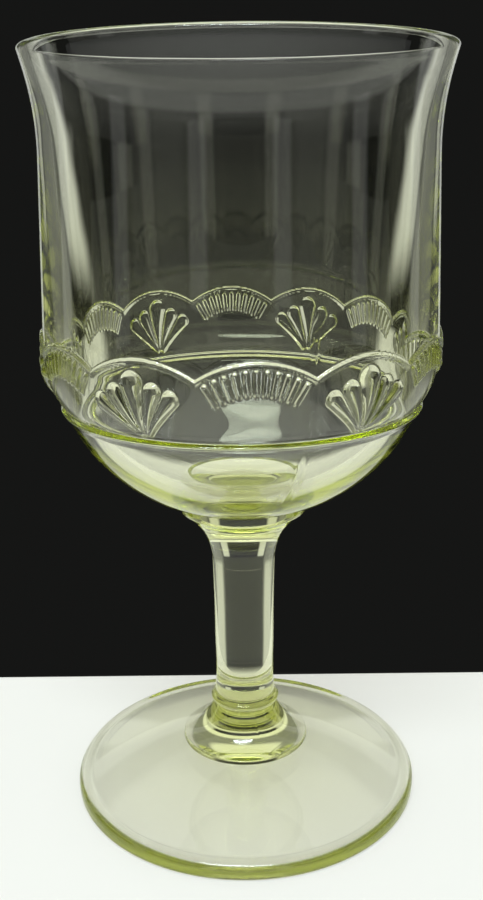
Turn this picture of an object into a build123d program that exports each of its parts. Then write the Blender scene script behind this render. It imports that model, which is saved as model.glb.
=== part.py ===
from build123d import *
import os
from math import asin, cos, degrees, radians, sin, sqrt

# Pressed-glass water goblet, in millimetres, +Z up along its axis.
# The origin is in the middle of the ring that the foot stands on, and the front faces -Y.

# Foot: a domed disc with a rolled edge, hollow underneath
foot_radius = 37.6
foot_edge_height = 1.7
foot_roll_width = 3.0
foot_roll_rise = 1.5
foot_base_round = 0.7
foot_rise = 7.0
foot_crown = 0.6
foot_wall = 4.2
rest_ring_width = 3.4

# Boss: the flared lower wafer, with a small step where it sits on the foot
boss_radius = 13.7
boss_step = 0.9
boss_height = 8.5
boss_hollow = 1.0

# Stem: solid and slightly waisted, with a bead round its lower end
stem_length = 33.3
stem_end_radius = 6.65
stem_waist = 0.25
bead_height = 2.0
bead_stand = 0.8

# Collar: the flared upper wafer that carries the bowl
collar_height = 13.7
collar_radius = 13.1
collar_edge = 1.9

# Bowl, with heights measured from its flat underside
bowl_height = 89.3
bowl_radius = 39.4
waist_narrowing = 1.2
flare_height = 20.0
rim_flare = 2.6
lip_round = 0.95
bowl_wall = 2.7
belly_depth = 33.8
belly_step = 1.9
belly_wall = 3.2
floor_thickness = 2.5
ridge_height = 21.5
ridge_stand = 0.8
ridge_round = 0.75
band_height = 11.8

# Relief band: pairs of panels, one of flutes and one with a fan, each under a raised scallop arch
pair_count = 6
pattern_turn = 3.5
relief_stand = 0.75
relief_root = 0.8
arch_above_shoulder = 3.5
arch_rise = 3.2
arch_line = 0.9
finger_angles = (-44, -24, 0, 24, 44)
finger_gaps = (3.3, 3.2, 1.6, 3.2, 3.3)
finger_widths = (3.0, 3.4, 4.6, 3.4, 3.0)
finger_root = 0.6
finger_start = 1.5
flute_count = 11
flute_spread = 62
flute_length = 4.5
flute_width = 1.1
flute_gap = 0.45

# Levels of the joints, stacked from the table up
roll_end = foot_edge_height + foot_roll_rise
boss_seat = roll_end + foot_rise
stem_base = boss_seat + boss_height
collar_base = stem_base + stem_length
bowl_base = collar_base + collar_height
rim_level = bowl_base + bowl_height

# Foot
rest_inner_radius = foot_radius - foot_base_round - rest_ring_width
hollow_top = boss_seat - foot_wall
with BuildPart() as foot:
    with BuildSketch(Plane.XZ) as foot_section:
        with BuildLine():
            rest = Line((rest_inner_radius, 0), (foot_radius, 0))
            edge = Line(rest @ 1, (foot_radius, foot_edge_height))
            roll = TangentArc(edge @ 1, (foot_radius - foot_roll_width, roll_end), tangent=(0, 1))
            dome = SagittaArc(roll @ 1, (boss_radius, boss_seat), -foot_crown)
            seat = Line(dome @ 1, (0, boss_seat))
            core = Line(seat @ 1, (0, hollow_top))
            TangentArc(core @ 1, rest @ 0, tangent=(1, 0))
        make_face()
        outer_corners = foot_section.vertices().group_by(Axis.X)[-1].sort_by(Axis.Y)
        fillet(outer_corners[0], radius=foot_base_round)
    revolve(axis=Axis.Z)
foot.part.label = "foot"

# Boss
with BuildPart() as boss:
    with BuildSketch(Plane.XZ):
        with BuildLine():
            base = Line((0, boss_seat), (boss_radius, boss_seat))
            step = Line(base @ 1, (boss_radius, boss_seat + boss_step))
            flare = SagittaArc(step @ 1, (stem_end_radius, stem_base), boss_hollow)
            top = Line(flare @ 1, (0, stem_base))
            Line(top @ 1, base @ 0)
        make_face()
    revolve(axis=Axis.Z)
boss.part.label = "boss"

# Stem
bead_middle = (stem_end_radius + bead_stand, stem_base + bead_height / 2)
bead_top = (stem_end_radius, stem_base + bead_height)
stem_middle = (stem_end_radius - stem_waist, (bead_top[1] + collar_base) / 2)
with BuildPart() as stem:
    with BuildSketch(Plane.XZ):
        with BuildLine():
            base = Line((0, stem_base), (stem_end_radius, stem_base))
            bead = ThreePointArc(base @ 1, bead_middle, bead_top)
            shank = ThreePointArc(bead @ 1, stem_middle, (stem_end_radius, collar_base))
            top = Line(shank @ 1, (0, collar_base))
            Line(top @ 1, base @ 0)
        make_face()
    revolve(axis=Axis.Z)
stem.part.label = "stem"

# Collar
with BuildPart() as collar:
    with BuildSketch(Plane.XZ):
        with BuildLine():
            base = Line((0, collar_base), (stem_end_radius, collar_base))
            flare = TangentArc(base @ 1, (collar_radius, bowl_base - collar_edge), tangent=(0, 1))
            edge = Line(flare @ 1, (collar_radius, bowl_base))
            top = Line(edge @ 1, (0, bowl_base))
            Line(top @ 1, base @ 0)
        make_face()
    revolve(axis=Axis.Z)
collar.part.label = "collar"

# Bowl: outside, an elliptical belly, the ridge, the shoulder, the tapered wall and the flared rim
belly_radius = bowl_radius - belly_step
belly_level = bowl_base + belly_depth * sqrt(1 - (collar_radius / belly_radius) ** 2)
ridge_level = bowl_base + ridge_height
shoulder = Vector(bowl_radius, ridge_level + band_height)
waist = Vector(bowl_radius - waist_narrowing, rim_level - flare_height)
lip = Vector(bowl_radius - waist_narrowing + rim_flare, rim_level - lip_round)

# Bowl: inside, a straight wall with a little draft down to an elliptical floor
floor_level = bowl_base + floor_thickness
inner_radius = belly_radius - belly_wall
inner_waist = Vector(waist.X - bowl_wall, waist.Y)
inner_lip = Vector(lip.X - 2 * lip_round, lip.Y)


def belly_at(level):
    """Point of the belly's outline at a level."""
    return Vector(belly_radius * sqrt(1 - ((level - belly_level) / belly_depth) ** 2), level)


def belly_angle(level):
    """Angle round the belly's ellipse at a level, in degrees."""
    return degrees(asin((level - belly_level) / belly_depth))


ridge_foot = belly_at(ridge_level - ridge_round)
ridge_crest = belly_at(ridge_level) + Vector(ridge_stand, 0)
ridge_head = belly_at(ridge_level + ridge_round)

with BuildPart() as blank:
    with BuildSketch(Plane.XZ):
        with BuildLine():
            base = Line((0, bowl_base), (collar_radius, bowl_base))
            EllipticalCenterArc(
                (0, belly_level),
                belly_radius,
                belly_depth,
                start_angle=belly_angle(bowl_base),
                arc_size=belly_angle(ridge_foot.Y) - belly_angle(bowl_base),
            )
            ThreePointArc(ridge_foot, ridge_crest, ridge_head)
            TangentArc(shoulder, ridge_head, tangent=shoulder - waist)
            Line(shoulder, waist)
            TangentArc(waist, lip, tangent=waist - shoulder)
            ThreePointArc(lip, lip + Vector(-lip_round, lip_round), inner_lip)
            TangentArc(inner_waist, inner_lip, tangent=inner_waist - Vector(inner_radius, belly_level))
            Line(inner_waist, (inner_radius, belly_level))
            EllipticalCenterArc(
                (0, belly_level),
                inner_radius,
                belly_level - floor_level,
                start_angle=-90,
                arc_size=90,
            )
            Line((0, floor_level), base @ 0)
        make_face()
    revolve(axis=Axis.Z)

# Relief skin: the shoulder and lower wall, stood out by the relief's height
arch_top = shoulder.Y + arch_above_shoulder
skin_top = arch_top + 2 * arch_line
wall_slope = (waist.X - shoulder.X) / (waist.Y - shoulder.Y)
wall_at_top = Vector(shoulder.X + wall_slope * (skin_top - shoulder.Y), skin_top)
stand = Vector(relief_stand, 0)
root = Vector(-relief_root, 0)
with BuildPart() as skin:
    with BuildSketch(Plane.XZ):
        with BuildLine():
            TangentArc(shoulder + stand, ridge_head + stand, tangent=shoulder - waist)
            Line(shoulder + stand, wall_at_top + stand)
            Line(wall_at_top + stand, wall_at_top + root)
            Line(wall_at_top + root, shoulder + root)
            TangentArc(shoulder + root, ridge_head + root, tangent=shoulder - waist)
            Line(ridge_head + root, ridge_head + stand)
        make_face()
    revolve(axis=Axis.Z)

# Relief patterns, drawn on an upright plane across a panel and cut out of the skin
panel_angle = 180 / pair_count
half_panel = (bowl_radius + relief_stand) * sin(radians(panel_angle / 2))
arch_radius = (half_panel**2 + arch_rise**2) / (2 * arch_rise)
arch_centre = arch_top - arch_radius
fan_root = Vector(0, ridge_head.Y)
pattern_radius = ridge_head.X - 2 * relief_root


def panel_plane(panel):
    """Upright plane across a panel, with X to the right, Y up and Z outwards."""
    turn = radians(pattern_turn + panel * panel_angle)
    outwards = Vector(sin(turn), -cos(turn), 0)
    rightwards = Vector(cos(turn), sin(turn), 0)
    return Plane(origin=outwards * pattern_radius, x_dir=rightwards, z_dir=outwards)


# Scallop arch: a curved band over the panel, from cusp to cusp
peak = Vector(0, arch_top)
left_cusp = Vector(-half_panel, arch_top - arch_rise)
right_cusp = Vector(half_panel, arch_top - arch_rise)
half_line = Vector(0, arch_line / 2)
with BuildSketch() as arch:
    with BuildLine():
        upper = ThreePointArc(left_cusp + half_line, peak + half_line, right_cusp + half_line)
        lower = ThreePointArc(left_cusp - half_line, peak - half_line, right_cusp - half_line)
        Line(upper @ 0, lower @ 0)
        Line(upper @ 1, lower @ 1)
    make_face()


def reach_to_arch(angle):
    """Distance from the fan's root to the arch's middle line, at an angle from upright."""
    rise = fan_root.Y - arch_centre
    across = rise * sin(radians(angle))
    return sqrt(arch_radius**2 - across**2) - rise * cos(radians(angle))


# Fan: teardrop fingers spread from one root, round at the tip, each with its gap to the arch
with BuildSketch() as fan:
    add(arch.sketch)
    for angle, gap, width in zip(finger_angles, finger_gaps, finger_widths):
        length = reach_to_arch(angle) - gap
        along = Vector(sin(radians(angle)), cos(radians(angle)))
        aside = Vector(cos(radians(angle)), -sin(radians(angle)))
        narrow = fan_root + along * finger_start
        wide = fan_root + along * (length - width / 2)
        with BuildLine():
            left = Line(narrow - aside * finger_root / 2, wide - aside * width / 2)
            tip = ThreePointArc(left @ 1, fan_root + along * length, wide + aside * width / 2)
            right = Line(tip @ 1, narrow + aside * finger_root / 2)
            Line(right @ 1, left @ 0)
        make_face()

# Flutes: short ribs that hang square to the arch
flute_radius = arch_radius - arch_line / 2 - flute_gap - flute_length / 2
first_flute = 90 - flute_spread / 2
with BuildSketch() as flutes:
    add(arch.sketch)
    with Locations((0, arch_centre)):
        with PolarLocations(flute_radius, flute_count, first_flute, flute_spread, endpoint=True):
            SlotOverall(flute_length, flute_width)

with BuildPart() as relief_pair:
    with BuildSketch(panel_plane(0)):
        add(flutes.sketch)
    with BuildSketch(panel_plane(1)):
        add(fan.sketch)
    extrude(amount=bowl_radius)
    add(skin.part, mode=Mode.INTERSECT)

with BuildPart() as bowl:
    add(blank.part)
    with PolarLocations(0, pair_count):
        add(relief_pair.part)
bowl.part.label = "bowl"

os.makedirs("parts", exist_ok=True)
export_step(foot.part, "parts/foot.step")
export_step(boss.part, "parts/boss.step")
export_step(stem.part, "parts/stem.step")
export_step(collar.part, "parts/collar.step")
export_step(bowl.part, "parts/bowl.step")
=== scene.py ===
"""Pressed-glass water goblet: five fused pieces of straw-tinted glass on a pale table top."""

import logging
import math
from abc import ABC, abstractmethod
from dataclasses import dataclass, field
from enum import Enum
from typing import ClassVar

import bmesh
import bpy
from mathutils import Matrix, Vector


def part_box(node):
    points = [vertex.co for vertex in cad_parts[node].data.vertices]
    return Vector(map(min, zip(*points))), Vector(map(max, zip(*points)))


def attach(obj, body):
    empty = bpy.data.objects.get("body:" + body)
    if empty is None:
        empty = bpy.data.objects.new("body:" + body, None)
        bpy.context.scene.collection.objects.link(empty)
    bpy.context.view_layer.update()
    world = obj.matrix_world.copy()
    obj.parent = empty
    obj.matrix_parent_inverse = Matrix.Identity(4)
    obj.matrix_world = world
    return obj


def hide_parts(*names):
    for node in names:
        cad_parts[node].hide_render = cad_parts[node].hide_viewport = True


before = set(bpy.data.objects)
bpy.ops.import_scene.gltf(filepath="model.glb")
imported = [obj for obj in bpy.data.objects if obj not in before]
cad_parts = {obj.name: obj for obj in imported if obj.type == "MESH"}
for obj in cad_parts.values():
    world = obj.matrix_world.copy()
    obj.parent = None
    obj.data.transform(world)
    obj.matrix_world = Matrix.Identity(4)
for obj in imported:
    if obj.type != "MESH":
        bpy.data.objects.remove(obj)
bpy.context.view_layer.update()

Point = tuple[float, float]
Triple = tuple[float, float, float]
Stops = tuple[Point, ...]

LOG = logging.getLogger("goblet")
BODY = "root"

# A millimetre and the distance at which two points count as one, in metres
MM = 0.001
MERGE = 1e-7

# Steps in a metre by which the rows of the relief band are told apart
LEVELS_PER_METRE = 1e8

# Attribute of the fused faces, and the thin gap between two of them in millimetres
FUSED = "fused"
JOINT_GAP = 0.02

# Directions in a half section, and the handle length that makes a curve a quarter round
OUT: Point = (1.0, 0.0)
IN: Point = (-1.0, 0.0)
UP: Point = (0.0, 1.0)
ROUND_REACH = 0.39

# Stops of a light panel that goes all the way round the room
ALL_ROUND: Stops = ((0.0, 1.0),)


class Joint(Enum):
    """Which end faces of a piece are fused to a neighbour."""

    LOWER = "lower"
    UPPER = "upper"


class Section:
    """Half section of a turned piece: a chain of (radius, level) points in millimetres."""

    def __init__(self, start: Point) -> None:
        """Starts the chain at a point."""
        self.points: list[Point] = [start]

    def line(self, end: Point, parts: int = 1) -> None:
        """Goes straight to a point.

        Args:
            end: Where the line ends.
            parts: How many pieces it is divided into.
        """
        start = self.points[-1]
        for step in range(1, parts + 1):
            share = step / parts
            radius = start[0] + (end[0] - start[0]) * share
            level = start[1] + (end[1] - start[1]) * share
            self.points.append((radius, level))

    def curve(self, end: Point, leave: Point, arrive: Point, parts: int, reach: float = 0.36) -> None:
        """Goes to a point along a smooth curve.

        Args:
            end: Where the curve ends.
            leave: Direction in which it leaves.
            arrive: Direction in which it arrives.
            parts: How many pieces it is divided into.
            reach: Length of its handles, as a share of the straight distance.
        """
        first, last = Vector(self.points[-1]), Vector(end)
        handle = reach * (last - first).length
        second = first + Vector(leave).normalized() * handle
        third = last - Vector(arrive).normalized() * handle
        for step in range(1, parts + 1):
            t = step / parts
            u = 1.0 - t
            at = first * u**3 + second * (3 * u * u * t) + third * (3 * u * t * t) + last * t**3
            self.points.append((at.x, at.y))

    def ellipse(self, centre: Point, radii: Point, start: float, end: float, parts: int) -> None:
        """Follows an ellipse between two angles.

        Args:
            centre: Middle of the ellipse.
            radii: Its half widths across and up.
            start: Angle to start at, in degrees from outwards.
            end: Angle to end at.
            parts: How many pieces the arc is divided into.
        """
        for step in range(1, parts + 1):
            angle = math.radians(start + (end - start) * step / parts)
            radius = centre[0] + radii[0] * math.cos(angle)
            level = centre[1] + radii[1] * math.sin(angle)
            self.points.append((radius, level))

    def spin(self, steps: int) -> bmesh.types.BMesh:
        """Turns the section once round the upright axis.

        Args:
            steps: Number of faces round the axis.

        Returns:
            A closed mesh in metres, with its poles and seam merged.
        """
        mesh = bmesh.new()
        chain = [mesh.verts.new((r * MM, 0.0, z * MM)) for r, z in self.points]
        edges = [mesh.edges.new(pair) for pair in zip(chain, chain[1:])]
        bmesh.ops.spin(
            mesh,
            geom=chain + edges,
            cent=(0.0, 0.0, 0.0),
            axis=(0.0, 0.0, 1.0),
            angle=math.tau,
            steps=steps,
            use_merge=True,
        )
        bmesh.ops.remove_doubles(mesh, verts=mesh.verts, dist=MERGE)
        bmesh.ops.dissolve_degenerate(mesh, edges=mesh.edges, dist=MERGE)
        bmesh.ops.recalc_face_normals(mesh, faces=mesh.faces)
        return mesh


@dataclass(frozen=True)
class PressedGlass:
    """Straw-tinted pressed glass: clear in thin walls, olive where light runs a long way in it."""

    name: str = "pressed_glass"
    index: float = 1.5
    absorption: Triple = (0.758, 0.791, 0.18)
    density: float = 45.0
    ripple_scale: float = 55.0
    ripple_detail: float = 1.0
    ripple_strength: float = 0.05
    wear_scale: float = 900.0
    wear_level: float = 0.0003
    wear_roughness: float = 0.35

    def make(self) -> bpy.types.Material:
        """Makes the glass, with its skin and its tinted body.

        Returns:
            The material that all the pieces share.
        """
        material = bpy.data.materials.new(self.name)
        material.use_nodes = True
        tree = material.node_tree
        tree.nodes.clear()
        out = tree.nodes.new("ShaderNodeOutputMaterial")
        skin = tree.nodes.new("ShaderNodeBsdfPrincipled")
        skin.inputs["Base Color"].default_value = (1.0, 1.0, 1.0, 1.0)
        skin.inputs["Transmission Weight"].default_value = 1.0
        skin.inputs["Roughness"].default_value = 0.0
        skin.inputs["IOR"].default_value = self.index
        tree.links.new(skin.outputs["BSDF"], out.inputs["Surface"])
        body = tree.nodes.new("ShaderNodeVolumeAbsorption")
        body.inputs["Color"].default_value = (*self.absorption, 1.0)
        body.inputs["Density"].default_value = self.density
        tree.links.new(body.outputs["Volume"], out.inputs["Volume"])

        place = tree.nodes.new("ShaderNodeTexCoord").outputs["Object"]
        self.clear_joints(tree, skin)
        self.ripple_skin(tree, skin, place)
        self.wear_rest(tree, skin, place)
        return material

    def clear_joints(self, tree: bpy.types.NodeTree, skin: bpy.types.Node) -> None:
        """Lets light go straight through the fused faces.

        Args:
            tree: The glass's nodes.
            skin: The node of its surface.
        """
        joint = tree.nodes.new("ShaderNodeAttribute")
        joint.attribute_name = FUSED
        bend = tree.nodes.new("ShaderNodeMath")
        bend.operation = "MULTIPLY_ADD"
        bend.inputs[1].default_value = 1.0 - self.index
        bend.inputs[2].default_value = self.index
        tree.links.new(joint.outputs["Fac"], bend.inputs[0])
        tree.links.new(bend.outputs["Value"], skin.inputs["IOR"])

    def ripple_skin(
        self, tree: bpy.types.NodeTree, skin: bpy.types.Node, place: bpy.types.NodeSocket
    ) -> None:
        """Gives the surface the faint ripple of fire-polished glass.

        Args:
            tree: The glass's nodes.
            skin: The node of its surface.
            place: Socket with the place on the piece.
        """
        ripple = tree.nodes.new("ShaderNodeTexNoise")
        ripple.inputs["Scale"].default_value = self.ripple_scale
        ripple.inputs["Detail"].default_value = self.ripple_detail
        tree.links.new(place, ripple.inputs["Vector"])
        wave = tree.nodes.new("ShaderNodeBump")
        wave.inputs["Strength"].default_value = self.ripple_strength
        wave.inputs["Distance"].default_value = MM
        tree.links.new(ripple.outputs["Fac"], wave.inputs["Height"])
        tree.links.new(wave.outputs["Normal"], skin.inputs["Normal"])

    def wear_rest(
        self, tree: bpy.types.NodeTree, skin: bpy.types.Node, place: bpy.types.NodeSocket
    ) -> None:
        """Scuffs the ring that the goblet stands on.

        Args:
            tree: The glass's nodes.
            skin: The node of its surface.
            place: Socket with the place on the piece.
        """
        split = tree.nodes.new("ShaderNodeSeparateXYZ")
        tree.links.new(place, split.inputs[0])
        near_table = tree.nodes.new("ShaderNodeMapRange")
        near_table.inputs["From Min"].default_value = 0.0
        near_table.inputs["From Max"].default_value = self.wear_level
        near_table.inputs["To Min"].default_value = self.wear_roughness
        near_table.inputs["To Max"].default_value = 0.0
        tree.links.new(split.outputs["Z"], near_table.inputs["Value"])
        scuffs = tree.nodes.new("ShaderNodeTexNoise")
        scuffs.inputs["Scale"].default_value = self.wear_scale
        tree.links.new(place, scuffs.inputs["Vector"])
        worn = tree.nodes.new("ShaderNodeMath")
        worn.operation = "MULTIPLY"
        tree.links.new(near_table.outputs["Result"], worn.inputs[0])
        tree.links.new(scuffs.outputs["Fac"], worn.inputs[1])
        tree.links.new(worn.outputs["Value"], skin.inputs["Roughness"])


@dataclass(frozen=True)
class MouldSeams:
    """Fine upright ridges where the three sides of the mould met, in millimetres and degrees."""

    first: float = 18.75
    count: int = 3
    half_width: float = 0.3
    stand: float = 0.04
    cut_reach: float = 2.0
    margin: float = 1.0

    def raise_on(self, mesh: bmesh.types.BMesh, low: float, high: float, radius: float) -> None:
        """Cuts the outer skin along each seam and lifts it between the cuts.

        Args:
            mesh: The piece's mesh.
            low: Level where the seams start, in millimetres.
            high: Level where they end.
            radius: Least radius of the skin that carries them.
        """
        inner = (radius - self.margin) * MM
        for number in range(self.count):
            turn = math.radians(self.first + 360.0 * number / self.count)
            outwards = Vector((math.sin(turn), -math.cos(turn), 0.0))
            aside = Vector((math.cos(turn), math.sin(turn), 0.0))
            for side in (-1.0, 1.0):
                near = [
                    face
                    for face in mesh.faces
                    if low * MM < face.calc_center_median().z < high * MM
                    and face.calc_center_median().dot(outwards) > inner
                    and abs(face.calc_center_median().dot(aside)) < self.cut_reach * MM
                ]
                edges = dict.fromkeys(edge for face in near for edge in face.edges)
                verts = dict.fromkeys(vert for face in near for vert in face.verts)
                bmesh.ops.bisect_plane(
                    mesh,
                    geom=near + list(edges) + list(verts),
                    dist=MERGE,
                    plane_co=aside * (side * self.half_width * MM),
                    plane_no=aside,
                )
            for vert in mesh.verts:
                off = abs(vert.co.dot(aside)) / (self.half_width * MM)
                if off < 1.0 and low * MM < vert.co.z < high * MM and vert.co.dot(outwards) > inner:
                    vert.co += outwards * (self.stand * MM * (1.0 - off * off))


@dataclass(frozen=True)
class GlassPiece(ABC):
    """A turned piece of glass that stands for one node of the frame, with its sizes in millimetres."""

    steps: int = 192
    seams: MouldSeams = field(default_factory=MouldSeams)
    node: ClassVar[str] = ""
    joints: ClassVar[tuple[Joint, ...]] = ()

    @property
    def low(self) -> float:
        """Level of the node's underside."""
        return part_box(self.node)[0].z / MM

    @property
    def high(self) -> float:
        """Level of the node's top."""
        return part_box(self.node)[1].z / MM

    @property
    def base(self) -> float:
        """Level of the fused face at the bottom."""
        return self.low + JOINT_GAP / 2

    @property
    def top(self) -> float:
        """Level of the fused face at the top."""
        return self.high - JOINT_GAP / 2

    @abstractmethod
    def section(self) -> Section:
        """Draws the piece's half section."""

    def shape(self, mesh: bmesh.types.BMesh) -> None:
        """Works detail into the turned mesh; a plain piece has none."""

    def build(self) -> bpy.types.Object:
        """Turns, details and marks the piece.

        Returns:
            The finished mesh object, at the origin of the shared frame.
        """
        mesh = self.section().spin(self.steps)
        self.shape(mesh)
        self.mark_joints(mesh)
        data = bpy.data.meshes.new(f"goblet_{self.node}")
        mesh.to_mesh(data)
        mesh.free()
        piece = bpy.data.objects.new(f"goblet_{self.node}", data)
        bpy.context.scene.collection.objects.link(piece)
        return piece

    def mark_joints(self, mesh: bmesh.types.BMesh) -> None:
        """Smooths the skin, and marks the flat fused faces with sharp borders.

        Args:
            mesh: The piece's mesh.
        """
        layer = mesh.faces.layers.float.new(FUSED)
        levels = {Joint.LOWER: self.base, Joint.UPPER: self.top}
        marked = [levels[joint] * MM for joint in self.joints]
        for face in mesh.faces:
            fused = any(all(abs(v.co.z - level) < MERGE for v in face.verts) for level in marked)
            face[layer] = 1.0 if fused else 0.0
            face.smooth = not fused
        for edge in mesh.edges:
            kinds = {face[layer] for face in edge.link_faces}
            edge.smooth = len(kinds) == 1

    def dress(self, piece: bpy.types.Object, glass: bpy.types.Material) -> None:
        """Gives the piece its glass, and puts it in its node's place on the body.

        Args:
            piece: The built mesh object.
            glass: The material that it gets.
        """
        piece.data.materials.append(glass)
        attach(piece, BODY)
        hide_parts(self.node)
        LOG.info("%s: %d faces", piece.name, len(piece.data.polygons))


@dataclass(frozen=True)
class Foot(GlassPiece):
    """Domed foot disc, hollow underneath, with a rolled edge."""

    node: ClassVar[str] = "foot"
    joints: ClassVar[tuple[Joint, ...]] = (Joint.UPPER,)
    radius: float = 37.58
    base_round: float = 0.7
    edge_level: float = 1.7
    roll_radius: float = 1.855
    roll_turn: float = 118.0
    roll_slope: Point = (-0.883, -0.469)
    dome_start: Point = (34.1, 3.42)
    dome_slope: Point = (-0.908, 0.419)
    dome_reach: float = 0.334
    seat_radius: float = 13.7
    seat_slope: Point = (-0.977, 0.213)
    hollow_radius: float = 33.5
    hollow_top: float = 6.0
    hollow_slope: Point = (1.0, -0.35)
    steps: int = 256

    def section(self) -> Section:
        """Draws the foot from the middle of its hollow round to the boss seat.

        Returns:
            The half section.
        """
        roll_centre = (self.radius - self.roll_radius, self.edge_level)
        roll_radii = (self.roll_radius, self.roll_radius)
        seat = (self.seat_radius, self.top)
        drawn = Section((0.0, self.hollow_top))
        drawn.curve((self.hollow_radius, 0.0), OUT, self.hollow_slope, parts=26)
        drawn.line((self.radius - self.base_round, 0.0), parts=3)
        drawn.curve((self.radius, self.base_round), OUT, UP, parts=5, reach=ROUND_REACH)
        drawn.line((self.radius, self.edge_level), parts=2)
        drawn.ellipse(roll_centre, roll_radii, start=0.0, end=self.roll_turn, parts=14)
        drawn.curve(self.dome_start, self.roll_slope, self.dome_slope, parts=6)
        drawn.curve(seat, self.dome_slope, self.seat_slope, parts=26, reach=self.dome_reach)
        drawn.line((0.0, self.top))
        return drawn


@dataclass(frozen=True)
class Boss(GlassPiece):
    """Flared lower wafer with a small step on the foot."""

    node: ClassVar[str] = "boss"
    joints: ClassVar[tuple[Joint, ...]] = (Joint.LOWER, Joint.UPPER)
    radius: float = 13.68
    step: float = 0.9
    step_round: float = 0.3
    shelf_slope: Point = (-0.904, 0.427)
    flare_reach: float = 0.346
    neck_radius: float = 6.65
    neck_slope: Point = (-0.358, 0.934)

    def section(self) -> Section:
        """Draws the boss from its seat up to the stem.

        Returns:
            The half section.
        """
        shelf = self.low + self.step
        neck = (self.neck_radius, self.top)
        drawn = Section((0.0, self.base))
        drawn.line((self.radius, self.base))
        drawn.line((self.radius, shelf - self.step_round), parts=2)
        drawn.curve((self.radius - self.step_round, shelf), UP, self.shelf_slope, parts=4)
        drawn.curve(neck, self.shelf_slope, self.neck_slope, parts=26, reach=self.flare_reach)
        drawn.line((0.0, self.top))
        return drawn

    def shape(self, mesh: bmesh.types.BMesh) -> None:
        """Raises the mould seams on the flare."""
        self.seams.raise_on(mesh, self.low + self.step, self.high - JOINT_GAP, self.neck_radius)


@dataclass(frozen=True)
class Stem(GlassPiece):
    """Solid stem, slightly waisted, with a bead round its lower end."""

    node: ClassVar[str] = "stem"
    joints: ClassVar[tuple[Joint, ...]] = (Joint.LOWER, Joint.UPPER)
    radius: float = 6.65
    waist: float = 0.25
    bead_height: float = 2.0
    bead_stand: float = 0.8
    bead_foot_slope: Point = (0.9, 0.5)
    bead_head_slope: Point = (-0.8, 0.6)
    shank_foot_slope: Point = (-0.12, 1.0)
    shank_head_slope: Point = (0.03, 1.0)

    @property
    def bead_top(self) -> float:
        """Level where the bead ends."""
        return self.low + self.bead_height

    def section(self) -> Section:
        """Draws the stem from its bead up to the collar.

        Returns:
            The half section.
        """
        middle = (self.radius - self.waist, (self.bead_top + self.top) / 2)
        crest = (self.radius + self.bead_stand, self.low + self.bead_height / 2)
        drawn = Section((0.0, self.base))
        drawn.line((self.radius, self.base))
        drawn.curve(crest, self.bead_foot_slope, UP, parts=7)
        drawn.curve((self.radius, self.bead_top), UP, self.bead_head_slope, parts=7)
        drawn.curve(middle, self.shank_foot_slope, UP, parts=14)
        drawn.curve((self.radius, self.top), UP, self.shank_head_slope, parts=14)
        drawn.line((0.0, self.top))
        return drawn

    def shape(self, mesh: bmesh.types.BMesh) -> None:
        """Raises the mould seams on the bead."""
        self.seams.raise_on(mesh, self.low + JOINT_GAP, self.bead_top, self.radius)


@dataclass(frozen=True)
class Collar(GlassPiece):
    """Flared upper wafer that carries the bowl."""

    node: ClassVar[str] = "collar"
    joints: ClassVar[tuple[Joint, ...]] = (Joint.LOWER, Joint.UPPER)
    radius: float = 13.08
    edge: float = 1.9
    neck_radius: float = 6.65
    flare_slope: Point = (0.84, 0.54)
    flare_reach: float = 0.354

    def section(self) -> Section:
        """Draws the collar from the stem up to the bowl's underside.

        Returns:
            The half section.
        """
        edge_foot = (self.radius, self.top - self.edge)
        drawn = Section((0.0, self.base))
        drawn.line((self.neck_radius, self.base))
        drawn.curve(edge_foot, UP, self.flare_slope, parts=26, reach=self.flare_reach)
        drawn.line((self.radius, self.top), parts=2)
        drawn.line((0.0, self.top))
        return drawn


class Panel(Enum):
    """The two patterns that take turns round the band."""

    FLUTES = 0
    FAN = 1


@dataclass(frozen=True)
class Finger:
    """One teardrop finger of a fan: its lean from upright, its gap to the arch and its full width."""

    lean: float
    gap: float
    width: float


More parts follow.
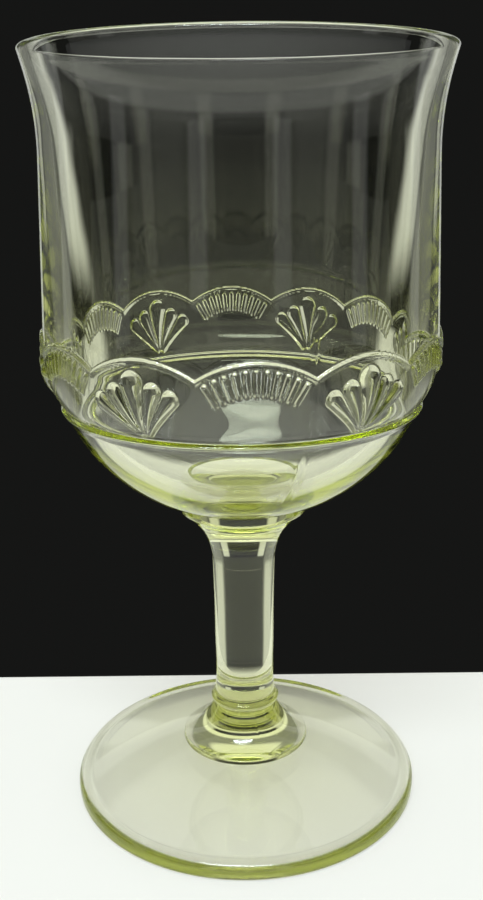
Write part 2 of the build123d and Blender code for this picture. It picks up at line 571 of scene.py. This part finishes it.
@dataclass(frozen=True)
class ReliefBand:
    """Scalloped band of twelve panels, flutes and fans in turn, each under a raised arch."""

    panels: int = 12
    turn: float = 3.5
    radius: float = 40.1
    floor: float = 88.1
    arch_top: float = 102.5
    arch_rise: float = 3.2
    arch_width: float = 0.85
    arch_stand: float = 0.62
    fingers: tuple[Finger, ...] = (
        Finger(lean=-44.0, gap=3.3, width=3.3),
        Finger(lean=-24.0, gap=3.2, width=3.6),
        Finger(lean=0.0, gap=1.6, width=4.8),
        Finger(lean=24.0, gap=3.2, width=3.6),
        Finger(lean=44.0, gap=3.3, width=3.3),
    )
    fan_leans: tuple[float, ...] = (1.5, -1.0, 2.0, -2.0, 1.0, -8.0)
    finger_start: float = 1.2
    finger_root: float = 0.7
    finger_stand: float = 0.88
    finger_root_stand: float = 0.8
    flutes: int = 11
    flute_spread: float = 62.0
    flute_length: float = 4.8
    flute_width: float = 1.15
    flute_gap: float = 0.35
    flute_stand: float = 0.55
    plump: float = 0.7

    @property
    def half_panel(self) -> float:
        """Half the width of a panel."""
        return self.radius * math.sin(math.pi / self.panels)

    @property
    def arch_radius(self) -> float:
        """Radius of the scallop arch."""
        return (self.half_panel**2 + self.arch_rise**2) / (2 * self.arch_rise)

    @property
    def arch_centre(self) -> float:
        """Level of the arch's centre."""
        return self.arch_top - self.arch_radius

    @property
    def top(self) -> float:
        """Level where the band has run out into the plain wall."""
        return self.arch_top + self.arch_width

    def stand(self, angle: float, level: float) -> float:
        """How far the relief stands out of the plain shoulder.

        Args:
            angle: Angle round the bowl in degrees, from the front towards the right.
            level: Level above the table in millimetres.

        Returns:
            The height of the relief there, in millimetres.
        """
        pitch = 360.0 / self.panels
        place = (angle - self.turn) / pitch
        number = round(place)
        across = self.radius * math.sin(math.radians((place - number) * pitch))
        from_arch = math.hypot(across, level - self.arch_centre)
        heights = [self.bead(abs(from_arch - self.arch_radius), self.arch_width / 2, self.arch_stand)]
        if from_arch < self.arch_radius:
            pair, panel = number // len(Panel), Panel(number % len(Panel))
            if panel is Panel.FAN:
                heights.append(self.fan(across, level, self.fan_leans[pair % len(self.fan_leans)]))
            else:
                heights.append(self.ribs(across, level))
        return max(heights)

    def bead(self, away: float, half: float, stand: float) -> float:
        """Height of a rounded bead at a distance from its middle line."""
        share = min(1.0, away / half)
        return stand * (1.0 - share * share) ** self.plump

    def fan(self, across: float, level: float, fan_lean: float) -> float:
        """Height of the fan's teardrop fingers at a place on the panel.

        Args:
            across: Distance to the right of the panel's middle, in millimetres.
            level: Level above the table.
            fan_lean: How far the whole fan leans to the right, in degrees.

        Returns:
            The height of the highest finger there.
        """
        highest = 0.0
        here = Vector((across, level - self.floor))
        for finger in self.fingers:
            lean = finger.lean + fan_lean
            along = Vector((math.sin(math.radians(lean)), math.cos(math.radians(lean))))
            last = self.reach(lean) - finger.gap - finger.width / 2
            run = min(max(here.dot(along), self.finger_start), last)
            share = (run - self.finger_start) / (last - self.finger_start)
            half = (self.finger_root + (finger.width - self.finger_root) * share) / 2
            rise = self.finger_root_stand + (1.0 - self.finger_root_stand) * share
            away = (here - along * run).length
            highest = max(highest, self.bead(away, half, self.finger_stand * rise))
        return highest

    def reach(self, lean: float) -> float:
        """Distance from the fan's root to the arch.

        Args:
            lean: Angle from upright, in degrees.

        Returns:
            The distance in millimetres.
        """
        rise = self.floor - self.arch_centre
        aside = rise * math.sin(math.radians(lean))
        return math.sqrt(self.arch_radius**2 - aside**2) - rise * math.cos(math.radians(lean))

    def ribs(self, across: float, level: float) -> float:
        """Height of the short flutes that hang square to the arch.

        Args:
            across: Distance to the right of the panel's middle, in millimetres.
            level: Level above the table.

        Returns:
            The height of the nearest flute there.
        """
        pitch = self.flute_spread / (self.flutes - 1)
        angle = math.degrees(math.atan2(across, level - self.arch_centre))
        number = round(angle / pitch)
        if abs(number) > self.flutes // 2:
            return 0.0
        out = math.hypot(across, level - self.arch_centre)
        off = math.radians(angle - number * pitch) * out
        end = self.arch_radius - self.arch_width / 2 - self.flute_gap - self.flute_width / 2
        start = end - self.flute_length + self.flute_width
        past = max(start - out, out - end, 0.0)
        return self.bead(math.hypot(off, past), self.flute_width / 2, self.flute_stand)


@dataclass(frozen=True)
class Bowl(GlassPiece):
    """Pressed bowl: belly, ridge, relief band, tapered wall and flared rim."""

    node: ClassVar[str] = "bowl"
    joints: ClassVar[tuple[Joint, ...]] = (Joint.LOWER,)
    band: ReliefBand = field(default_factory=ReliefBand)
    pad_radius: float = 13.08
    belly_level: float = 97.37
    belly_radii: Point = (37.5, 33.8)
    ridge_level: float = 87.2
    ridge_stand: float = 0.8
    ridge_round: float = 0.75
    ridge_foot_slope: Point = (0.75, 0.35)
    ridge_head_slope: Point = (-0.35, 0.6)
    shoulder: Point = (39.4, 99.0)
    shoulder_slope: Point = (0.62, 0.8)
    shoulder_reach: float = 0.345
    waist: Point = (38.2, 135.0)
    lip: Point = (40.78, 154.05)
    lip_round: float = 0.94
    flare_slope: Point = (0.3, 1.0)
    lip_slope: Point = (0.1, 1.0)
    inner_lip_radius: float = 38.9
    inner_lip_slope: Point = (-0.1, -1.0)
    inner_flare_slope: Point = (-0.27, -1.0)
    inner_waist: Point = (35.5, 135.0)
    inner_waist_slope: Point = (-0.01, -1.0)
    inner_radius: float = 34.3
    floor_level: float = 68.2
    band_row: float = 0.29
    band_cuts: int = 3
    band_margin: float = 0.01
    skin_margin: float = 0.4
    steps: int = 288

    def belly(self, level: float) -> Point:
        """Point of the belly's outline at a level."""
        share = (level - self.belly_level) / self.belly_radii[1]
        return self.belly_radii[0] * math.sqrt(1.0 - share**2), level

    def belly_angle(self, level: float) -> float:
        """Angle round the belly's ellipse at a level, in degrees."""
        return math.degrees(math.asin((level - self.belly_level) / self.belly_radii[1]))

    @property
    def ridge_head(self) -> Point:
        """Point where the ridge ends and the band begins."""
        return self.belly(self.ridge_level + self.ridge_round)

    def section(self) -> Section:
        """Draws the bowl from the middle of its pad, over the rim, to the middle of its floor.

        Returns:
            The half section.
        """
        drawn = Section((0.0, self.base))
        self.draw_belly(drawn)
        self.draw_wall(drawn)
        self.draw_inside(drawn)
        return drawn

    def draw_belly(self, drawn: Section) -> None:
        """Draws the pad, the belly and the ridge.

        Args:
            drawn: The half section so far.
        """
        centre = (0.0, self.belly_level)
        start = self.belly_angle(self.base)
        end = self.belly_angle(self.ridge_level - self.ridge_round)
        crest = (self.belly(self.ridge_level)[0] + self.ridge_stand, self.ridge_level)
        drawn.line(self.belly(self.base))
        drawn.ellipse(centre, self.belly_radii, start, end, parts=26)
        drawn.curve(crest, self.ridge_foot_slope, UP, parts=6)
        drawn.curve(self.ridge_head, UP, self.ridge_head_slope, parts=6)

    def draw_wall(self, drawn: Section) -> None:
        """Draws the shoulder under the band, in fine rows, then the wall, the flare and the lip.

        Args:
            drawn: The half section so far.
        """
        wall = (self.waist[0] - self.shoulder[0], self.waist[1] - self.shoulder[1])
        band_height = self.band.top - self.ridge_head[1]
        rows = round(band_height / self.band_row)
        shoulder_rows = round(rows * (self.shoulder[1] - self.ridge_head[1]) / band_height)
        above_shoulder = self.band.top - self.shoulder[1]
        band_end = (self.shoulder[0] + wall[0] / wall[1] * above_shoulder, self.band.top)
        crown = (self.lip[0] - self.lip_round, self.lip[1] + self.lip_round)
        inner_lip = (self.inner_lip_radius, self.lip[1])
        drawn.curve(self.shoulder, self.shoulder_slope, wall, shoulder_rows, self.shoulder_reach)
        drawn.line(band_end, rows - shoulder_rows)
        drawn.line(self.waist, parts=6)
        drawn.curve(self.lip, wall, self.flare_slope, parts=14)
        drawn.curve(crown, self.lip_slope, IN, parts=6, reach=ROUND_REACH)
        drawn.curve(inner_lip, IN, self.inner_lip_slope, parts=6, reach=ROUND_REACH)

    def draw_inside(self, drawn: Section) -> None:
        """Draws the inside of the wall and the floor.

        Args:
            drawn: The half section so far.
        """
        centre = (0.0, self.belly_level)
        radii = (self.inner_radius, self.belly_level - self.floor_level)
        drawn.curve(self.inner_waist, self.inner_flare_slope, self.inner_waist_slope, parts=14)
        drawn.line((self.inner_radius, self.belly_level), parts=8)
        drawn.ellipse(centre, radii, start=0.0, end=-90.0, parts=30)

    def shape(self, mesh: bmesh.types.BMesh) -> None:
        """Cuts the band's rows finer, raises the relief on them and adds the mould seams.

        Args:
            mesh: The turned bowl.
        """
        low, high = self.band.floor * MM, (self.band.top + self.band_margin) * MM
        outside = (self.inner_radius + self.skin_margin) * MM
        radii: dict[int, float] = {}
        rows = []
        for edge in mesh.edges:
            one, other = edge.verts
            if abs(one.co.z - other.co.z) > MERGE or not low - MERGE <= one.co.z <= high:
                continue
            radius = one.co.xy.length
            if radius > outside and abs(radius - other.co.xy.length) < MERGE:
                rows.append(edge)
                radii[round(one.co.z * LEVELS_PER_METRE)] = radius
        bmesh.ops.subdivide_edges(mesh, edges=rows, cuts=self.band_cuts, use_grid_fill=True)
        for vert in mesh.verts:
            if not low - MERGE <= vert.co.z <= high or vert.co.xy.length < outside:
                continue
            radius = radii[round(vert.co.z * LEVELS_PER_METRE)]
            angle = math.degrees(math.atan2(vert.co.x, -vert.co.y))
            full = radius + self.band.stand(angle, vert.co.z / MM) * MM
            vert.co.xy = vert.co.xy.normalized() * full
        self.seams.raise_on(mesh, self.low + JOINT_GAP, self.band.top, self.pad_radius)
        bmesh.ops.recalc_face_normals(mesh, faces=mesh.faces)


@dataclass(frozen=True)
class PaleTop:
    """Plain pale finish of a table top: white to the eye and through glass, in a painted pool of light
    round the goblet that darkens to painted shade further away.
    """

    name: str = "pale_top"
    colour: Triple = (0.46, 0.46, 0.44)
    # Painted shade: the colour that the table top darkens to far from the goblet
    painted_shade_colour: Triple = (0.10, 0.10, 0.10)
    roughness: float = 0.6
    specular: float = 0.2
    glow: float = 0.80
    # Distances from the goblet, in metres, over which the painted pool of light gives way to painted
    # shade
    light_pool_start: float = 0.20
    light_pool_end: float = 0.70

    def make(self) -> bpy.types.Material:
        """Makes the finish.

        Returns:
            The material of the table top.
        """
        material = bpy.data.materials.new(self.name)
        material.use_nodes = True
        tree = material.node_tree
        skin = tree.nodes["Principled BSDF"]
        skin.inputs["Roughness"].default_value = self.roughness
        skin.inputs["Specular IOR Level"].default_value = self.specular
        # Painted pool of light round the goblet, fading into painted shade, on both the colour and the
        # glow
        tone = self.paint_light_pool(tree)
        tree.links.new(tone, skin.inputs["Base Color"])
        tree.links.new(tone, skin.inputs["Emission Color"])
        tree.links.new(self.seen_glow(tree), skin.inputs["Emission Strength"])
        return material

    def paint_light_pool(self, tree: bpy.types.NodeTree) -> bpy.types.NodeSocket:
        """Paints a pool of light round the goblet: the colour fades to painted shade with the distance
        from it.

        Args:
            tree: The finish's nodes.

        Returns:
            The socket with the colour.
        """
        place = tree.nodes.new("ShaderNodeTexCoord")
        away = tree.nodes.new("ShaderNodeVectorMath")
        away.operation = "LENGTH"
        tree.links.new(place.outputs["Object"], away.inputs[0])
        share = tree.nodes.new("ShaderNodeMapRange")
        share.interpolation_type = "SMOOTHSTEP"
        share.inputs["From Min"].default_value = self.light_pool_start
        share.inputs["From Max"].default_value = self.light_pool_end
        tree.links.new(away.outputs["Value"], share.inputs["Value"])
        # Mixes the pale colour near the goblet into the painted shade further away
        tone = tree.nodes.new("ShaderNodeMix")
        tone.data_type = "RGBA"
        tone.inputs["A"].default_value = (*self.colour, 1.0)
        tone.inputs["B"].default_value = (*self.painted_shade_colour, 1.0)
        tree.links.new(share.outputs["Result"], tone.inputs["Factor"])
        return tone.outputs["Result"]

    def seen_glow(self, tree: bpy.types.NodeTree) -> bpy.types.NodeSocket:
        """Lets the finish glow where it is seen, by the eye or in glass, and light nothing.

        Args:
            tree: The finish's nodes.

        Returns:
            The socket with the strength of the glow.
        """
        path = tree.nodes.new("ShaderNodeLightPath")
        seen = path.outputs["Is Camera Ray"]
        for kind in ("Is Glossy Ray", "Is Transmission Ray"):
            either = tree.nodes.new("ShaderNodeMath")
            either.operation = "MAXIMUM"
            tree.links.new(seen, either.inputs[0])
            tree.links.new(path.outputs[kind], either.inputs[1])
            seen = either.outputs["Value"]
        glow = tree.nodes.new("ShaderNodeMath")
        glow.operation = "MULTIPLY"
        glow.inputs[1].default_value = self.glow
        tree.links.new(seen, glow.inputs[0])
        return glow.outputs["Value"]


@dataclass(frozen=True)
class TableTop:
    """Pale table top that ends a little behind the goblet, in metres."""

    left: float = -0.75
    right: float = 0.75
    front: float = -1.20
    back: float = 0.047
    thickness: float = 0.02
    gap: float = 0.0001
    edge_round: float = 0.004
    edge_segments: int = 4
    finish: PaleTop = field(default_factory=PaleTop)

    def build(self) -> None:
        """Makes the table top just under the foot."""
        across, along = self.right - self.left, self.back - self.front
        middle_x, middle_y = (self.right + self.left) / 2, (self.back + self.front) / 2
        middle = (middle_x, middle_y, -self.gap - self.thickness / 2)
        mesh = bmesh.new()
        bmesh.ops.create_cube(mesh, size=1.0)
        bmesh.ops.scale(mesh, vec=(across, along, self.thickness), verts=mesh.verts)
        bmesh.ops.translate(mesh, vec=middle, verts=mesh.verts)
        bmesh.ops.bevel(
            mesh,
            geom=mesh.edges[:],
            offset=self.edge_round,
            affect="EDGES",
            segments=self.edge_segments,
            profile=0.5,
            material=-1,
        )
        data = bpy.data.meshes.new("table_top")
        mesh.to_mesh(data)
        mesh.free()
        data.materials.append(self.finish.make())
        top = bpy.data.objects.new("table_top", data)
        bpy.context.scene.collection.objects.link(top)


@dataclass(frozen=True)
class Softbox:
    """Flat oval studio lamp that faces a point, in metres and watts."""

    name: str
    width: float
    height: float
    power: float
    place: Triple = (-0.07, -0.45, 0.75)
    aim: Triple = (0.0, 0.0, 0.08)
    colour: Triple = (0.86, 0.95, 1.0)

    def build(self) -> None:
        """Hangs the lamp in its place."""
        lamp = bpy.data.lights.new(self.name, "AREA")
        lamp.shape = "ELLIPSE"
        lamp.color = self.colour
        lamp.size = self.width
        lamp.size_y = self.height
        lamp.energy = self.power
        box = bpy.data.objects.new(self.name, lamp)
        towards = Vector(self.aim) - Vector(self.place)
        box.location = self.place
        box.rotation_euler = towards.to_track_quat("-Z", "Y").to_euler()
        box.visible_camera = False
        bpy.context.scene.collection.objects.link(box)


@dataclass(frozen=True)
class LightPanel:
    """Soft light panel that is repeated evenly round the room.

    Its brightness is given round the room, by the share of the way from the middle of a dark gap to the
    middle of a panel, and up the room, by the share of the way from straight down to straight up.
    """

    name: str
    level: float
    repeats: int
    around: Stops
    upright: Stops


@dataclass(frozen=True)
class LightRoom:
    """Dark room with grey corners, upright light strips all round, a pale ground and a bright dome."""

    tint: Triple = (0.97, 1.0, 0.94)
    dark: float = 0.008
    panels: tuple[LightPanel, ...] = (
        LightPanel(
            name="ground",
            level=0.85,
            repeats=4,
            around=ALL_ROUND,
            upright=((0.235, 1.0), (0.26, 0.0)),
        ),
        LightPanel(
            name="low",
            level=0.6,
            repeats=4,
            around=((0.64, 0.0), (0.80, 1.0)),
            upright=((0.31, 1.0), (0.39, 0.0)),
        ),
        LightPanel(
            name="strip",
            level=0.7,
            repeats=8,
            around=((0.72, 0.0), (0.86, 1.0)),
            upright=((0.38, 0.0), (0.41, 1.0), (0.63, 1.0), (0.65, 0.0)),
        ),
        LightPanel(
            name="corner",
            level=0.18,
            repeats=4,
            around=((0.60, 0.0), (0.72, 1.0)),
            upright=((0.26, 0.0), (0.30, 1.0), (0.63, 1.0), (0.65, 0.0)),
        ),
        LightPanel(
            name="ring",
            level=1.05,
            repeats=4,
            around=ALL_ROUND,
            upright=((0.63, 0.0), (0.65, 1.0), (0.70, 1.0), (0.73, 0.28), (0.79, 0.28), (0.84, 0.0)),
        ),
        LightPanel(
            name="ceiling",
            level=1.0,
            repeats=4,
            around=ALL_ROUND,
            upright=((0.78, 0.0), (0.84, 1.0)),
        ),
    )

    def build(self) -> None:
        """Makes the room the scene's world, as bright everywhere as the brightest panel there."""
        world = bpy.data.worlds.new("light_room")
        world.use_nodes = True
        tree = world.node_tree
        place = tree.nodes.new("ShaderNodeTexCoord")
        split = tree.nodes.new("ShaderNodeSeparateXYZ")
        tree.links.new(place.outputs["Generated"], split.inputs[0])
        # The angle round the room, and the share of the way from straight down to straight up
        round_room = self.work_out(tree, "ARCTAN2", split.outputs["X"], split.outputs["Y"])
        height = self.work_out(tree, "MULTIPLY_ADD", split.outputs["Z"], 0.5, 0.5)
        light: bpy.types.NodeSocket | float = self.dark
        for panel in self.panels:
            half = math.pi / panel.repeats
            folded = self.work_out(tree, "PINGPONG", round_room, half)
            share = self.work_out(tree, "DIVIDE", folded, half)
            across = self.grey_scale(tree, share, panel.around)
            up = self.grey_scale(tree, height, panel.upright)
            shape = self.work_out(tree, "MULTIPLY", across, up)
            shine = self.work_out(tree, "MULTIPLY", shape, panel.level)
            light = self.work_out(tree, "MAXIMUM", light, shine)
            LOG.info("light panel %s: %d round the room", panel.name, panel.repeats)
        backdrop = tree.nodes["Background"]
        backdrop.inputs["Color"].default_value = (*self.tint, 1.0)
        tree.links.new(light, backdrop.inputs["Strength"])
        bpy.context.scene.world = world

    @staticmethod
    def work_out(
        tree: bpy.types.NodeTree, operation: str, *values: bpy.types.NodeSocket | float
    ) -> bpy.types.NodeSocket:
        """Adds a sum to the room's nodes.

        Args:
            tree: The room's nodes.
            operation: Name of the sum.
            values: Sockets or numbers that go into it.

        Returns:
            The socket with its result.
        """
        node = tree.nodes.new("ShaderNodeMath")
        node.operation = operation
        for socket, value in zip(node.inputs, values):
            if isinstance(value, bpy.types.NodeSocket):
                tree.links.new(value, socket)
            else:
                socket.default_value = value
        return node.outputs["Value"]

    @staticmethod
    def grey_scale(
        tree: bpy.types.NodeTree, source: bpy.types.NodeSocket, stops: Stops
    ) -> bpy.types.NodeSocket:
        """Adds a soft grey scale to the room's nodes.

        Args:
            tree: The room's nodes.
            source: Socket with a share from 0 to 1.
            stops: Shares, each with its brightness.

        Returns:
            The socket with the brightness.
        """
        node = tree.nodes.new("ShaderNodeValToRGB")
        scale = node.color_ramp
        scale.interpolation = "EASE"
        while len(scale.elements) < len(stops):
            scale.elements.new(1.0)
        while len(scale.elements) > len(stops):
            scale.elements.remove(scale.elements[-1])
        for element, (share, level) in zip(scale.elements, stops):
            element.position = share
            element.color = (level, level, level, 1.0)
        tree.links.new(source, node.inputs["Fac"])
        return node.outputs["Color"]


@dataclass(frozen=True)
class LightPaths:
    """How often light may bounce: enough for glass seen through glass."""

    total: int = 40
    glossy: int = 32
    transmission: int = 40

    def build(self) -> None:
        """Sets the scene's limits."""
        limits = bpy.context.scene.cycles
        limits.max_bounces = self.total
        limits.glossy_bounces = self.glossy
        limits.transmission_bounces = self.transmission


@dataclass(frozen=True)
class Studio:
    """Pale table top in the light room, with a narrow lamp for crisp lights and a wide one round it."""

    paths: LightPaths = field(default_factory=LightPaths)
    room: LightRoom = field(default_factory=LightRoom)
    top: TableTop = field(default_factory=TableTop)
    lamps: tuple[Softbox, ...] = (
        Softbox("key", width=0.53, height=0.06, power=3.4),
        Softbox("wash", width=0.57, height=0.16, power=1.7),
    )

    def build(self) -> None:
        """Sets the room, the table top and the lamps."""
        self.paths.build()
        self.room.build()
        self.top.build()
        for lamp in self.lamps:
            lamp.build()


@dataclass(frozen=True)
class Viewpoint:
    """Camera at the photograph's angle, in metres and degrees, with its lens in millimetres."""

    place: Triple = (-0.0002, -0.2055, 0.1374)
    pitch: float = 16.55
    roll: float = -0.62
    lens: float = 41.2
    sensor: float = 36.0
    nearest: float = 0.01
    farthest: float = 20.0

    def build(self) -> None:
        """Makes the camera the scene's own."""
        data = bpy.data.cameras.new("camera")
        data.lens = self.lens
        data.sensor_width = self.sensor
        data.clip_start = self.nearest
        data.clip_end = self.farthest
        camera = bpy.data.objects.new("camera", data)
        tilt = Matrix.Rotation(math.radians(90.0 - self.pitch), 4, "X")
        lean = Matrix.Rotation(math.radians(self.roll), 4, "Z")
        camera.matrix_world = Matrix.Translation(self.place) @ tilt @ lean
        bpy.context.scene.collection.objects.link(camera)
        bpy.context.scene.camera = camera


def write_sizes() -> None:
    """Brings the placements of the scene's objects up to date."""
    bpy.context.view_layer.update()


def main() -> None:
    """Builds and dresses the goblet, and sets the stage round it."""
    logging.basicConfig(level=logging.INFO, format="%(name)s: %(message)s")
    bpy.context.scene.view_settings.view_transform = "Standard"
    Viewpoint().build()
    Studio().build()
    glass = PressedGlass().make()
    for piece in (Foot(), Boss(), Stem(), Collar(), Bowl()):
        piece.dress(piece.build(), glass)
    write_sizes()


if __name__ == "__main__":
    main()
